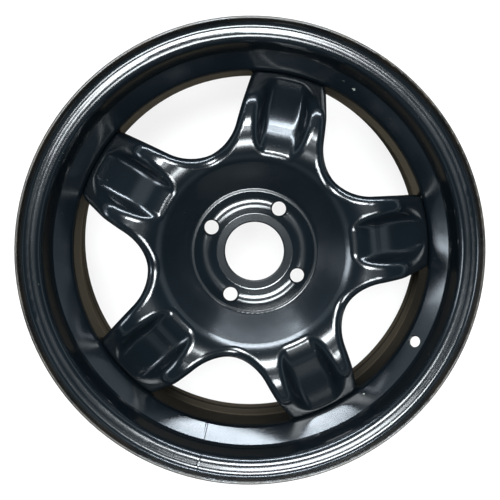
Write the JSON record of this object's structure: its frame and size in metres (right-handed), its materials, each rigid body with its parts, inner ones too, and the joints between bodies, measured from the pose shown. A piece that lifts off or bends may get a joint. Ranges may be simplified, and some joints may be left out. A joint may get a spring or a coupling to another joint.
{
  "type": "pressed steel road wheel rim",
  "caption": "Black pressed steel car wheel with broad spokes that carry a sunk channel, open windows between them, a centre bore and cone-seated bolt holes.",
  "frame": {"origin": "centre of the bore on the wheel axis, in the plane that seats on the hub", "axes": "+Z along the wheel axis out of the face seen on the car, +X towards the valve hole"},
  "size_m": [0.4402, 0.44, 0.1774],
  "materials": {
    "black_coat": "gloss",
    "black_weld": "satin"
  },
  "bodies": {
    "root": {"rim_barrel": "black_coat", "wheel_disc": "black_coat", "weld_seams": "black_weld"}
  },
  "joints": []
}
